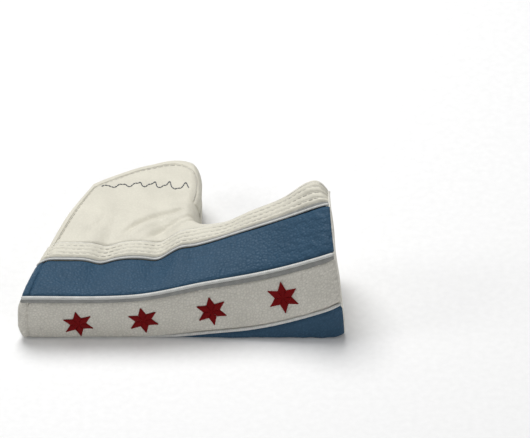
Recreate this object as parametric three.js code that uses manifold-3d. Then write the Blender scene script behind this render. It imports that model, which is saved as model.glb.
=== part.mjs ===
// Cover for a blade putter, in millimetres, +Z up.
// It lies on one of its two L-shaped side panels. The sole band faces -Y, the toe points to +X,
// and the neck, with the mouth that the shaft comes out of, points to +Y.
// Places on the cover are worked out as (along, across, height): along runs from heel to toe,
// across runs from the sole to the neck. place() leans them into the real outline.
import * as THREE from "three";
import Module from "manifold-3d";

const wasm = await Module();
wasm.setup();

// Driving dimensions
const LENGTH = 150;
const TOE_FLARE = 8;
const TOE_HEIGHT = 66;
const HEEL_LEAN = 0.3;
const HEEL_CURVE = 0.0013;
const WHITE_STRIPE = 28;
const BLUE_STRIPE = 27;
const BORDER = 12;
const SOLE_CORNER = 3;
const SOLE_FLANGE = 12;
const INNER_EDGE = 87;
const TOP_LINE = 50;
const CROOK_RADIUS = 6;
const EDGE_ROUND = 10;
const LEAST_ROUND = 3;
const NECK_HEIGHT = 26;
const NECK_PEAK = { along: 67, across: 104.3 };
const NECK_SLOPE = 17.5;
const NECK_CORNER = 12;
const SEAM_SHARE = 0.46;
const SEAM_HALF = 1;
const HEM = 4;

// Layers, from the outside in
const LEATHER = 1.3;
const FOAM = 2.4;
const LINING = 1.8;
const GAP = 0.3;
const FOAM_TOP = LEATHER + GAP;
const FOAM_BASE = FOAM_TOP + FOAM;
const LINING_TOP = FOAM_BASE + GAP;
const LINING_BASE = LINING_TOP + LINING;

// The line that both flaps of the mouth fold about: from the heel edge to the inner edge
const FOLD_HEEL = 43;
const FOLD_INNER = 69.2;

// Trim
const CORD = 0.9;
const THIN_CORD = 0.5;
const CORD_ROOM = 1.5;
const THIN_ROOM = 0.9;
const CORD_SINK = 0.35;
const CORD_SEGMENTS = 3;
const STAR_RADIUS = 8.1;
const STAR_WAIST = 0.5;
const STAR_POINTS = 6;
const STAR_TURN = 10;
const STAR_LIFT = 0.6;
const BADGE = { x: 67.6, y: 80.4, radius: 14.7, thickness: 0.45, recess: 1.2 };
const MAGNET = { radius: 4, hole: 4.4, thickness: 1.8 };

// How the sole band turns from heel to toe. lift is the height of the lower cord (below zero it
// is tucked under the sole); lean is how far the white stripe leans back; rise and borderRise are
// the slopes of the upper blue stripe and of the border strip, in degrees.
const STATIONS = [
  { along: 0, lift: -2, lean: 0, rise: 5, borderRise: 1 },
  { along: 55, lift: -1.2, lean: 0, rise: 5, borderRise: 1 },
  { along: 88, lift: 3.2, lean: 9, rise: 7, borderRise: 2 },
  { along: 120, lift: 8, lean: 19, rise: 22, borderRise: 8 },
  { along: 150, lift: 21, lean: 13, rise: 29, borderRise: 29 },
];

const { clamp, degToRad, lerp, smoothstep } = THREE.MathUtils;

// A value of STATIONS at any place, on a smooth curve through the stations.
function track(along, key) {
  const last = STATIONS.length - 1;
  let index = 0;
  while (index < last - 1 && along > STATIONS[index + 1].along) index += 1;
  const slope = (k) => {
    const before = STATIONS[Math.max(k - 1, 0)];
    const after = STATIONS[Math.min(k + 1, last)];
    return (after[key] - before[key]) / (after.along - before.along);
  };
  const from = STATIONS[index];
  const to = STATIONS[index + 1];
  const span = to.along - from.along;
  const u = clamp((along - from.along) / span, 0, 1);
  const bend = u * (1 - u) * ((1 - u) * slope(index) - u * slope(index + 1));
  return lerp(from[key], to[key], u * u * (3 - 2 * u)) + span * bend;
}

// From (along, across, height) to a point of the part.
function place(along, across, height) {
  const heelShare = Math.max(1 - along / (INNER_EDGE + 1), 0);
  const lean = heelShare * (HEEL_LEAN * across + HEEL_CURVE * across * across);
  const flareUp = 1 - clamp(height / TOE_HEIGHT, 0, 1) ** 1.5;
  const flareBack = 1 - clamp(across / TOP_LINE, 0, 1);
  const flare = TOE_FLARE * smoothstep(along, LENGTH - 35, LENGTH) * flareUp * flareBack;
  return new THREE.Vector3(along + lean + flare, across, height);
}

// ---- The sole band, as a path in each section from the floor up and over the top ----

// The point at a distance from the sole's corner, and the direction into the cover there.
function solePoint(along, distance) {
  const lean = degToRad(track(along, "lean"));
  const kink = Math.max(track(along, "lift"), SOLE_CORNER);
  if (distance <= -SOLE_CORNER) return { at: [-distance, 0], inward: [0, 1] };
  if (distance < SOLE_CORNER) {
    const turn = ((distance + SOLE_CORNER) / (2 * SOLE_CORNER)) * (Math.PI / 2);
    const inward = [Math.sin(turn), Math.cos(turn)];
    return { at: inward.map((share) => SOLE_CORNER * (1 - share)), inward };
  }
  if (distance <= kink) return { at: [0, distance], inward: [1, 0] };
  const rest = distance - kink;
  const at = [rest * Math.sin(lean), kink + rest * Math.cos(lean)];
  return { at, inward: [Math.cos(lean), -Math.sin(lean)] };
}

// The seams of the band at one place, as [across, height].
function seams(along) {
  const lift = track(along, "lift");
  const rise = degToRad(track(along, "rise"));
  const borderRise = degToRad(track(along, "borderRise"));
  const whiteTop = solePoint(along, lift + WHITE_STRIPE).at;
  const blueTop = [
    whiteTop[0] + BLUE_STRIPE * Math.cos(rise),
    whiteTop[1] + BLUE_STRIPE * Math.sin(rise),
  ];
  const borderTop = [
    blueTop[0] + BORDER * Math.cos(borderRise),
    blueTop[1] + BORDER * Math.sin(borderRise),
  ];
  const blueUnder = [BLUE_STRIPE - lift, 0];
  const borderUnder = [BLUE_STRIPE + BORDER - lift, 0];
  return { whiteTop, blueTop, borderTop, blueUnder, borderUnder };
}

const toVector = ([across, height]) => new THREE.Vector2(across, height);

// A section path with its ends cut back.
function trimmed(path, startCut, endCut) {
  const points = path.map(toVector);
  const last = points.length - 1;
  const startStep = points[1].clone().sub(points[0]).setLength(startCut);
  const endStep = points[last - 1].clone().sub(points[last]).setLength(endCut);
  points[0].add(startStep);
  points[last].add(endStep);
  return points;
}

// A section path moved into the cover by a depth, with mitred corners.
function deeper(points, depth) {
  const inwardOf = (a, b) => {
    const step = b.clone().sub(a).normalize();
    return new THREE.Vector2(step.y, -step.x);
  };
  return points.map((point, k) => {
    const before = inwardOf(points[Math.max(k - 1, 0)], points[Math.max(k, 1)]);
    const last = points.length - 1;
    const after = inwardOf(points[Math.min(k, last - 1)], points[Math.min(k + 1, last)]);
    const mitre = before.clone().add(after).divideScalar(1 + before.dot(after));
    return point.clone().addScaledVector(mitre, depth);
  });
}

// A section path with each stretch cut into equal parts, so that it can bend with the heel edge.
function divided(points) {
  const parts = 3;
  const made = points.slice(1).flatMap((point, k) => (
    Array.from({ length: parts }, (_, part) => points[k].clone().lerp(point, part / parts))
  ));
  return [...made, points[points.length - 1]];
}

// ---- The side panels, as heights over the outline ----

// The far edge of the neck.
function neckTop(along) {
  const { along: peak, across } = NECK_PEAK;
  if (along < peak) return across - NECK_SLOPE * ((peak - along) / peak) ** 2;
  const share = Math.min((along - peak) / (INNER_EDGE - peak), 1);
  return across - NECK_CORNER * (1 - Math.sqrt(1 - share * share));
}

// The two ends of the fold line, and where it crosses each line along the cover.
const foldStart = place(0, FOLD_HEEL, 0);
const foldEnd = place(INNER_EDGE, FOLD_INNER, 0);
function fold(along) {
  const slope = (foldEnd.y - foldStart.y) / (foldEnd.x - foldStart.x);
  let across = FOLD_HEEL;
  for (let round = 0; round < 12; round += 1) {
    across = foldStart.y + slope * (place(along, across, 0).x - foldStart.x);
  }
  return across;
}

// How far a place lies inside the sewn edge, which runs round the crook.
function inside(along, across) {
  const toNeck = Math.max(INNER_EDGE + CROOK_RADIUS - along, 0);
  const toTopLine = Math.max(TOP_LINE + CROOK_RADIUS - across, 0);
  return Math.hypot(toNeck, toTopLine) - CROOK_RADIUS;
}

function topHeight(along, across) {
  const [seamAcross, seamHeight] = seams(along).borderTop;
  const slope = Math.tan(degToRad(track(along, "borderRise")));
  if (across < seamAcross) return seamHeight - slope * (seamAcross - across);
  return lerp(seamHeight, NECK_HEIGHT, smoothstep(across, TOP_LINE - 2, NECK_PEAK.across));
}

function floorHeight(along, across) {
  const spot = place(along, across, 0);
  const away = Math.hypot(spot.x - BADGE.x, spot.y - BADGE.y);
  return BADGE.recess * (1 - smoothstep(away, BADGE.radius + 3, BADGE.radius + 11));
}

function seamHeight(along, across) {
  return SEAM_SHARE * topHeight(along, across);
}

// How far from the sewn edge a panel starts to round over towards it.
function edgeRound(along, across, depth) {
  const atTopLine = TOP_LINE - seams(along).borderTop[0];
  const round = lerp(atTopLine, EDGE_ROUND, smoothstep(across, TOP_LINE, TOP_LINE + 12));
  return Math.max(round - depth, LEAST_ROUND);
}

// How much of its full height a panel has near the sewn edge, which it meets at a right angle.
function fullness(along, across, depth) {
  const reach = (inside(along, across) - depth) / edgeRound(along, across, depth);
  return Math.sqrt(1 - (1 - clamp(reach, 0, 1)) ** 2);
}

function topPoint(along, across, depth) {
  const low = seamHeight(along, across) + SEAM_HALF;
  const steepness = Math.cos(degToRad(track(along, "borderRise")));
  const high = topHeight(along, across) - depth / steepness;
  return place(along, across, lerp(low, high, fullness(along, across, depth)));
}

function bottomPoint(along, across, depth) {
  const high = seamHeight(along, across) - SEAM_HALF;
  const low = floorHeight(along, across) + depth;
  return place(along, across, lerp(high, low, fullness(along, across, depth)));
}

// ---- Solids ----

// A closed solid between an outer and an inner grid of points.
function slab(outer, inner) {
  const rows = outer.length;
  const columns = outer[0].length;
  const index = [];
  const outerAt = (i, j) => i * columns + j;
  const innerAt = (i, j) => rows * columns + i * columns + j;
  const quad = (a, b, c, d) => index.push(a, b, c, a, c, d);
  for (let i = 0; i + 1 < rows; i += 1) {
    for (let j = 0; j + 1 < columns; j += 1) {
      quad(outerAt(i, j), outerAt(i + 1, j), outerAt(i + 1, j + 1), outerAt(i, j + 1));
      quad(innerAt(i, j), innerAt(i, j + 1), innerAt(i + 1, j + 1), innerAt(i + 1, j));
    }
  }
  const lastRow = rows - 1;
  const lastColumn = columns - 1;
  for (let i = 0; i < lastRow; i += 1) {
    quad(outerAt(i, 0), innerAt(i, 0), innerAt(i + 1, 0), outerAt(i + 1, 0));
    quad(outerAt(i, lastColumn), outerAt(i + 1, lastColumn),
      innerAt(i + 1, lastColumn), innerAt(i, lastColumn));
  }
  for (let j = 0; j < lastColumn; j += 1) {
    quad(outerAt(0, j), outerAt(0, j + 1), innerAt(0, j + 1), innerAt(0, j));
    quad(outerAt(lastRow, j), innerAt(lastRow, j), innerAt(lastRow, j + 1), outerAt(lastRow, j + 1));
  }
  const points = [...outer.flat(), ...inner.flat()];
  return facingOut(new THREE.BufferGeometry().setFromPoints(points).setIndex(index));
}

// The geometry with its faces turned round if they point inwards.
function facingOut(geometry) {
  const { array } = geometry.getAttribute("position");
  const faces = geometry.index.array;
  const corner = (k) => new THREE.Vector3().fromArray(array, 3 * faces[k]);
  let volume = 0;
  for (let k = 0; k < faces.length; k += 3) {
    volume += corner(k).dot(corner(k + 1).cross(corner(k + 2)));
  }
  if (volume < 0) {
    for (let k = 0; k < faces.length; k += 3) {
      [faces[k + 1], faces[k + 2]] = [faces[k + 2], faces[k + 1]];
    }
  }
  return geometry;
}

// Even steps from one number to another, both ends included.
function steps(from, to, count) {
  return Array.from({ length: count + 1 }, (_, k) => lerp(from, to, k / count));
}

const BAND_ALONG = steps(HEM + GAP, LENGTH - 1, 12);

// Distances across a stripe from one edge to the other, with some of them kept on the sole's
// corner wherever the stripe reaches it.
function cornerSteps(from, to) {
  const marks = [-SOLE_CORNER - 0.2, -1, 1, SOLE_CORNER + 0.2];
  const least = (k) => from + 0.2 * (k + 1);
  const most = (k) => to - 0.2 * (marks.length - k);
  return [from, ...marks.map((mark, k) => clamp(mark, least(k), most(k))), to];
}

// A stripe that follows the sole's corner, between two distances that change along the cover.
function soleStripe(fromOf, toOf) {
  const gridAt = (depth) => BAND_ALONG.map((along) => {
    const line = cornerSteps(fromOf(along), toOf(along));
    return line.map((distance) => {
      const { at, inward } = solePoint(along, distance);
      return place(along, at[0] + depth * inward[0], at[1] + depth * inward[1]);
    });
  });
  return slab(gridAt(0), gridAt(LEATHER));
}

// A strip whose section path is given at each place, between two depths.
function strip(pathOf, alongs, top, base) {
  const gridAt = (depth) => alongs.map((along) => {
    const path = divided(deeper(pathOf(along), depth));
    return path.map((point) => place(along, point.x, point.y));
  });
  return slab(gridAt(top), gridAt(base));
}

// The fixed part of a side panel: lines that start at a seam of the band and end at the fold,
// at the sewn inner edge, round the crook, and along the top line.
function panelLines(depth) {
  const edge = INNER_EDGE - depth;
  const radius = CROOK_RADIUS + depth;
  const centre = { along: INNER_EDGE + CROOK_RADIUS, across: TOP_LINE + CROOK_RADIUS };
  const foldLines = steps(0, 1, 6).map((share) => {
    const along = lerp(HEM + GAP, edge, share);
    return { start: lerp(HEM + GAP, 66, share), end: [along, fold(along) - GAP] };
  });
  const edgeLines = [
    { start: 73, end: [edge, 63] },
    { start: 79, end: [edge, centre.across] },
  ];
  const crookLines = [225, 270].map((angle, k) => {
    const turn = degToRad(angle);
    const end = [centre.along + radius * Math.cos(turn), centre.across + radius * Math.sin(turn)];
    return { start: 86 + 7 * k, end };
  });
  const toeLines = steps(104, LENGTH - 1, 4).map((along) => (
    { start: along, end: [along, TOP_LINE - depth] }
  ));
  return [...foldLines, ...edgeLines, ...crookLines, ...toeLines];
}

const LINE_SHARES = [0, 0.35, 0.62, 0.8, 0.93, 1];

// A layer of a side panel. An inner layer starts under the band, at a place of its own.
function panel(pointOf, seamOf, startOf, top, base) {
  const gridAt = (depth) => panelLines(depth).map(({ start, end }) => {
    const room = end[0] > INNER_EDGE ? 0.75 * edgeRound(start, TOP_LINE, depth) : 0;
    const near = Math.min(seamOf(start, depth), end[1] - room);
    const line = LINE_SHARES.map((share) => (
      pointOf(lerp(start, end[0], share), lerp(near, end[1], share), depth)
    ));
    return startOf ? [pointOf(start, startOf(start, depth), depth), ...line] : line;
  });
  return slab(gridAt(top), gridAt(base));
}

// Where a layer of a panel starts: beside a seam of the band, square to the band there.
function besideSeam(seam, slopeKey, room) {
  return (along, depth) => {
    const slope = slopeKey ? degToRad(track(along, slopeKey)) : 0;
    return seams(along)[seam][0] + room + depth * Math.sin(slope);
  };
}

// The neck's edge, set in by an inset, at a depth. share runs from the heel to the inner edge.
function flapEdge(share, inset, depth) {
  const along = lerp(inset, INNER_EDGE - inset - depth, share);
  return { along, across: neckTop(INNER_EDGE * share) - inset };
}

const FLAP_SHARES = [0, 0.13, 0.27, 0.41, 0.55, 0.69, 0.81, 0.91, 0.97, 1];

function flap(pointOf, top, base) {
  const gridAt = (depth) => FLAP_SHARES.map((share) => {
    const edge = flapEdge(share, HEM + GAP, depth);
    const near = fold(edge.along) + GAP;
    return steps(near, edge.across, 5).map((across) => pointOf(edge.along, across, depth));
  });
  return slab(gridAt(top), gridAt(base));
}

// The turned hem of a flap: up the heel edge, along the neck, and down the open inner edge.
function flapHem(pointOf) {
  const lineAt = (inset, depth) => {
    const cornerHeel = flapEdge(0, inset, depth);
    const cornerInner = flapEdge(1, inset, depth);
    const side = (corner, shares) => shares.map((share) => {
      const near = fold(corner.along) + GAP;
      return pointOf(corner.along, lerp(near, corner.across, share), depth);
    });
    const top = FLAP_SHARES.map((share) => {
      const edge = flapEdge(share, inset, depth);
      return pointOf(edge.along, edge.across, depth);
    });
    return [...side(cornerHeel, [0, 0.33, 0.66]), ...top, ...side(cornerInner, [0.5, 0])];
  };
  const gridAt = (depth) => {
    const outerLine = lineAt(0, depth);
    const innerLine = lineAt(HEM, depth);
    return outerLine.map((point, k) => [point, innerLine[k]]);
  };
  return slab(gridAt(0), gridAt(LINING_BASE));
}

// A round cord along points of the part. A low tension keeps it close to a path with corners.
function cord(points, radius, tension = 0.5) {
  const section = new THREE.Shape().absarc(0, 0, radius, 0, 2 * Math.PI);
  const path = new THREE.CatmullRomCurve3(points, false, "catmullrom", tension);
  const options = { extrudePath: path, steps: points.length + 4, curveSegments: CORD_SEGMENTS };
  return new THREE.ExtrudeGeometry(section, options);
}

const CORD_ALONG = steps(HEM + 1, LENGTH - 2, 9);

// A cord along a seam of the band, sunk a little into it.
function seamCord(seam, inwardOf, radius, sink) {
  const points = CORD_ALONG.map((along) => {
    const [across, height] = seams(along)[seam];
    const inward = inwardOf(along);
    return place(along, across + sink * inward[0], height + sink * inward[1]);
  });
  return cord(points, radius);
}

// The cover's whole section at one place, as a closed loop of [across, height].
function sectionLoop(along, depth) {
  const { whiteTop, blueTop } = seams(along);
  const start = SOLE_CORNER + LINING_BASE;
  const band = deeper([[start, 0], [0, 0], whiteTop, blueTop].map(toVector), depth);
  const line = (pointOf, near) => steps(near, TOP_LINE - depth, 8).map((across) => {
    const bunched = near + (across - near) * (2 - (across - near) / (TOP_LINE - depth - near));
    return [bunched, pointOf(along, bunched, depth).z];
  });
  const over = line(topPoint, band[3].x + 1.5);
  const under = line(bottomPoint, band[0].x + 1.5).reverse();
  return [...band.map((point) => [point.x, point.y]), ...over, ...under];
}

// A plate across the toe end, cut to the section at a depth, in lines from its floor side up.
function toePlate(depth, from, to) {
  const loop = sectionLoop(Math.min(from, LENGTH - 1) - 1, depth);
  const half = loop.length / 2;
  const upper = loop.slice(2, half + 2);
  const lower = [loop[1], loop[0], ...loop.slice(half + 2).reverse()];
  const gridAt = (end) => upper.map((top, k) => [0, 0.25, 0.5, 0.75, 1].map((share) => {
    const across = lerp(lower[k][0], top[0], share);
    const height = lerp(lower[k][1], top[1], share);
    const point = place(LENGTH, across, height);
    return point.setX(point.x + end - LENGTH);
  }));
  return slab(gridAt(from), gridAt(to));
}

// The star of the white stripe: six points, cut square, standing on its stripe.
function star() {
  const shape = new THREE.Shape();
  for (let k = 0; k < 2 * STAR_POINTS; k += 1) {
    const radius = k % 2 ? STAR_WAIST * STAR_RADIUS : STAR_RADIUS;
    const angle = (k * Math.PI) / STAR_POINTS + Math.PI / 2;
    const spot = [radius * Math.cos(angle), radius * Math.sin(angle)];
    if (k === 0) shape.moveTo(...spot);
    else shape.lineTo(...spot);
  }
  return new THREE.ExtrudeGeometry(shape, { depth: 0.5, bevelEnabled: false });
}

// A hand-drawn wave on the top flap, as a raised thread.
function wave() {
  const points = steps(0, 1, 33).map((share) => {
    const along = lerp(10, 78, share);
    const swing = (0.9 + 2.3 * share) * Math.sin(share * 11 * Math.PI);
    const across = 82.3 + 2.5 * Math.sin(Math.PI * share) - 2.2 * share + swing;
    return topPoint(along, across, -1);
  });
  return cord(points, 0.45);
}

function disc(radius, thickness, sides) {
  const shape = new THREE.CylinderGeometry(radius, radius, thickness, sides);
  return shape.rotateX(Math.PI / 2);
}

// ---- Boolean cuts ----

function solidOf(geometry) {
  const plain = geometry.index ? geometry.toNonIndexed() : geometry;
  const { array } = plain.getAttribute("position");
  const keys = new Map();
  const vertices = [];
  const triangles = [];
  for (let k = 0; k < array.length; k += 3) {
    const point = [array[k], array[k + 1], array[k + 2]];
    const key = point.map((value) => value.toFixed(4)).join();
    if (!keys.has(key)) {
      keys.set(key, vertices.length / 3);
      vertices.push(...point);
    }
    triangles.push(keys.get(key));
  }
  return new wasm.Manifold(new wasm.Mesh({
    numProp: 3,
    vertProperties: new Float32Array(vertices),
    triVerts: new Uint32Array(triangles),
  }));
}

function cut(geometry, tools) {
  let solid = solidOf(geometry);
  for (const tool of tools) solid = solid.subtract(solidOf(tool));
  const { vertProperties, triVerts } = solid.getMesh();
  const made = new THREE.BufferGeometry();
  made.setAttribute("position", new THREE.BufferAttribute(vertProperties, 3));
  made.setIndex(new THREE.BufferAttribute(triVerts, 1));
  return made;
}

// ---- The cover ----

const COLOURS = {
  white: { color: "#ded9cd", roughness: 0.55, metalness: 0 },
  blue: { color: "#3f6a94", roughness: 0.5, metalness: 0 },
  silver: { color: "#c6c8c4", roughness: 0.4, metalness: 0 },
  red: { color: "#9a141e", roughness: 0.6, metalness: 0 },
  thread: { color: "#3a3d42", roughness: 0.7, metalness: 0 },
  patch: { color: "#8fb3cf", roughness: 0.7, metalness: 0 },
  fleece: { color: "#efeee9", roughness: 0.95, metalness: 0 },
  foam: { color: "#d9d3b8", roughness: 0.9, metalness: 0 },
  steel: { color: "#9a9ca0", roughness: 0.3, metalness: 1 },
};

const cover = new THREE.Group();

function add(name, colour, geometry) {
  const mesh = new THREE.Mesh(geometry, new THREE.MeshStandardMaterial(COLOURS[colour]));
  mesh.name = name;
  cover.add(mesh);
  return mesh;
}

function addBand() {
  const lift = (along) => track(along, "lift");
  add("lower_blue_stripe", "blue", soleStripe(
    (along) => lift(along) - BLUE_STRIPE + CORD_ROOM, (along) => lift(along) - CORD_ROOM));
  add("white_stripe", "white", soleStripe(
    (along) => lift(along) + CORD_ROOM, (along) => lift(along) + WHITE_STRIPE - CORD_ROOM));
  const blue = (along) => {
    const { whiteTop, blueTop } = seams(along);
    return trimmed([whiteTop, blueTop], CORD_ROOM, CORD_ROOM);
  };
  add("upper_blue_stripe", "blue", strip(blue, BAND_ALONG, 0, LEATHER));
  const topBorder = (along) => {
    const { blueTop, borderTop } = seams(along);
    return trimmed([blueTop, borderTop], CORD_ROOM, THIN_ROOM);
  };
  add("top_border_strip", "white", strip(topBorder, BAND_ALONG, 0, LEATHER));
  const bottomBorder = (along) => {
    const { blueUnder, borderUnder } = seams(along);
    return trimmed([borderUnder, blueUnder], THIN_ROOM, CORD_ROOM);
  };
  add("bottom_border_strip", "white", strip(bottomBorder, BAND_ALONG, 0, LEATHER));
}

function addCords() {
  const leanOf = (along) => degToRad(track(along, "lean"));
  const riseOf = (along, key) => degToRad(track(along, key));
  const overTop = (angle) => [Math.sin(angle), -Math.cos(angle)];
  const atCorner = (along) => {
    const [a, b] = [[Math.cos(leanOf(along)), -Math.sin(leanOf(along))],
      overTop(riseOf(along, "rise"))];
    return [a[0] + b[0], a[1] + b[1]];
  };
  const lowerPoints = CORD_ALONG.map((along) => {
    const { at, inward } = solePoint(along, track(along, "lift"));
    const sink = CORD - 0.15;
    return place(along, at[0] + sink * inward[0], at[1] + sink * inward[1]);
  });
  add("lower_star_piping", "silver", cord(lowerPoints, CORD - 0.25));
  add("upper_star_piping", "silver", seamCord("whiteTop", atCorner, CORD, CORD_SINK));
  add("top_border_piping", "silver",
    seamCord("blueTop", (along) => overTop(riseOf(along, "rise")), CORD - 0.1, CORD_SINK));
  add("top_panel_piping", "silver",
    seamCord("borderTop", (along) => overTop(riseOf(along, "borderRise")), THIN_CORD, 0.3));
  const up = () => [0, 1];
  add("bottom_border_piping", "silver", seamCord("blueUnder", up, 0.6, 0.65));
  add("bottom_panel_piping", "silver", seamCord("borderUnder", up, THIN_CORD, 0.6));
}

function addPanels() {
  const topSeam = besideSeam("borderTop", "borderRise", THIN_ROOM);
  const bottomSeam = besideSeam("borderUnder", null, THIN_ROOM);
  const topInner = besideSeam("blueTop", "rise", 1);
  const bottomInner = () => SOLE_FLANGE + 1;
  const sides = [
    { side: "top", pointOf: topPoint, seamOf: topSeam, innerOf: topInner },
    { side: "bottom", pointOf: bottomPoint, seamOf: bottomSeam, innerOf: bottomInner },
  ];
  for (const { side, pointOf, seamOf, innerOf } of sides) {
    add(`${side}_panel`, "white", panel(pointOf, seamOf, null, 0, LEATHER));
    add(`${side}_foam`, "foam", panel(pointOf, seamOf, innerOf, FOAM_TOP, FOAM_BASE));
    add(`${side}_lining`, "fleece", panel(pointOf, seamOf, innerOf, LINING_TOP, LINING_BASE));
  }
}

function addSoleLayers() {
  const path = (along) => {
    const { whiteTop, blueTop } = seams(along);
    return trimmed([[SOLE_FLANGE, 0], [0.7, 0.6], whiteTop, blueTop], GAP, GAP);
  };
  add("sole_foam", "foam", strip(path, BAND_ALONG, FOAM_TOP, FOAM_BASE));
  add("sole_lining", "fleece", strip(path, BAND_ALONG, LINING_TOP, LINING_BASE));
  const hemPath = (along) => {
    const { whiteTop, blueTop } = seams(along);
    const end = FOLD_HEEL - 1;
    return [[end, 0], [0, 0], whiteTop, blueTop, [end, topHeight(along, end)]].map(toVector);
  };
  add("sole_hem", "white", strip(hemPath, [0, HEM / 2, HEM], 0, LINING_BASE));
}

function addToe() {
  add("toe_gusset", "white", toePlate(3.15, LENGTH - 0.7, LENGTH + 0.6));
  add("toe_foam", "foam", toePlate(LINING_BASE + 1, LENGTH - 3.4, LENGTH - 1));
  add("toe_lining", "fleece", toePlate(LINING_BASE + 1, LENGTH - 5.5, LENGTH - 3.7));
  const ring = sectionLoop(LENGTH - 1, 1);
  const points = ring.slice(0, -1).map(([across, height]) => {
    const point = place(LENGTH, across, height);
    return point.setX(point.x + 0.25);
  });
  add("toe_piping", "silver", cord(points, 0.6, 0.05));
}

function addWelt() {
  const inset = 0.8;
  const spots = panelLines(inset).slice(6).map(({ end }) => end);
  const points = spots.map(([along, across]) => place(along, across, seamHeight(along, across)));
  add("back_seam_welt", "white", cord(points, 0.6));
}

function addStars() {
  const spots = [[29.5, 11.8], [60.8, 12.8], [93.7, 12], [127, 12.7]];
  spots.forEach(([along, up], k) => {
    const centreOf = (a, d) => {
      const { at, inward } = solePoint(a, track(a, "lift") + d);
      return place(a, at[0] - STAR_LIFT * inward[0], at[1] - STAR_LIFT * inward[1]);
    };
    const centre = centreOf(along, up);
    const side = centreOf(along + 5, up).sub(centreOf(along - 5, up)).normalize();
    const rise = centreOf(along, up + 5).sub(centreOf(along, up - 5));
    const out = side.clone().cross(rise).normalize();
    const mesh = add(`star_${k + 1}`, "red", star());
    mesh.matrix.makeBasis(side, out.clone().cross(side), out).setPosition(centre);
    mesh.matrix.decompose(mesh.position, mesh.quaternion, mesh.scale);
    mesh.rotateZ(degToRad(STAR_TURN));
  });
}

function addFlaps() {
  const sides = [
    { name: "top_flap", pointOf: topPoint },
    { name: "bottom_flap", pointOf: bottomPoint },
  ];
  const magnets = { heel: [12, 72], neck: [44, 92] };
  for (const { name, pointOf } of sides) {
    const spots = Object.entries(magnets).map(([where, [along, across]]) => {
      const middle = pointOf(along, across, (FOAM_TOP + FOAM_BASE) / 2);
      return { where, middle };
    });
    const holes = spots.map(({ middle }) => (
      disc(MAGNET.hole, 3 * FOAM, 16).translate(middle.x, middle.y, middle.z)
    ));
    add(`${name}_leather`, "white", flap(pointOf, 0, LEATHER));
    add(`${name}_foam`, "foam", cut(flap(pointOf, FOAM_TOP, FOAM_BASE), holes));
    add(`${name}_lining`, "fleece", flap(pointOf, LINING_TOP, LINING_BASE));
    add(`${name}_hem`, "white", flapHem(pointOf));
    for (const { where, middle } of spots) {
      const magnet = add(`${name}_magnet_${where}`, "steel", disc(MAGNET.radius, MAGNET.thickness, 16));
      magnet.position.copy(middle);
    }
  }
  add("wave_embroidery", "thread", wave());
  const badge = add("round_badge", "patch", disc(BADGE.radius, BADGE.thickness, 24));
  badge.position.set(BADGE.x, BADGE.y, BADGE.thickness / 2 + 0.05);
}

addBand();
addCords();
addPanels();
addSoleLayers();
addToe();
addWelt();
addStars();
addFlaps();

// The origin is under the middle of the whole cover, on the surface that it lies on.
cover.updateMatrixWorld(true);
const bounds = new THREE.Box3().setFromObject(cover, true);
const middle = bounds.getCenter(new THREE.Vector3());
cover.position.set(-middle.x, -middle.y, -bounds.min.z);

const part = new THREE.Group();
part.add(cover);
export default part;
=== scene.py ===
"""Looks of the blade putter cover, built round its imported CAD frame.

Shapes are worked out in millimetres as (along, across, height), as in the CAD model: along runs
from heel to toe, across from the sole to the neck. to_row() turns them into the row frame, in
metres. A distance runs over the band's skin from the sole's corner, and a seam's distance from the
lower star cord, which lies the track "lift" further on. A depth is measured into the leather.
"""
import math

import bpy
import numpy as np
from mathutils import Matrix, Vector


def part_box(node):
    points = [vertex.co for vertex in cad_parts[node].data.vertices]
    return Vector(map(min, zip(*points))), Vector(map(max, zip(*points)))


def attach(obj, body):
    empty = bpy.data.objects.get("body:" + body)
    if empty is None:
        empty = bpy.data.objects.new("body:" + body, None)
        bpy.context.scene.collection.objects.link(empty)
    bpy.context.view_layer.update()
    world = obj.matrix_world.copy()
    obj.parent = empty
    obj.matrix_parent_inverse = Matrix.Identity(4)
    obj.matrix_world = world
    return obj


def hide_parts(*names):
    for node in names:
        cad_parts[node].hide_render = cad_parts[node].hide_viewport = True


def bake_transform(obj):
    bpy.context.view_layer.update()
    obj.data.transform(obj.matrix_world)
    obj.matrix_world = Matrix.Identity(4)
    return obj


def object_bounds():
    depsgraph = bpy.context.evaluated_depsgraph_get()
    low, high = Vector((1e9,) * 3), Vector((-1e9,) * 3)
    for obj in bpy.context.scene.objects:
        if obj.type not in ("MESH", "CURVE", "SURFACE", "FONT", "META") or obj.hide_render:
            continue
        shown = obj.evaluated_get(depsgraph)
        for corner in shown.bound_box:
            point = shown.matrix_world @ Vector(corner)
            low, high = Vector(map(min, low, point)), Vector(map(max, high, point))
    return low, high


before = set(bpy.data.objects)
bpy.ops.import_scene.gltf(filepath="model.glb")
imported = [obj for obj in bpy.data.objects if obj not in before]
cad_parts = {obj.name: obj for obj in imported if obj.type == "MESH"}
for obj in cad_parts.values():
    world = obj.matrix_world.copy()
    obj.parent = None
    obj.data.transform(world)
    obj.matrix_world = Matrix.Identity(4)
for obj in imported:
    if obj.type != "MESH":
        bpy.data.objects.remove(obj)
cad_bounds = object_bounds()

MM = 0.001

# ---- Driving dimensions, from the frame and as in the CAD model ----

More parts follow.
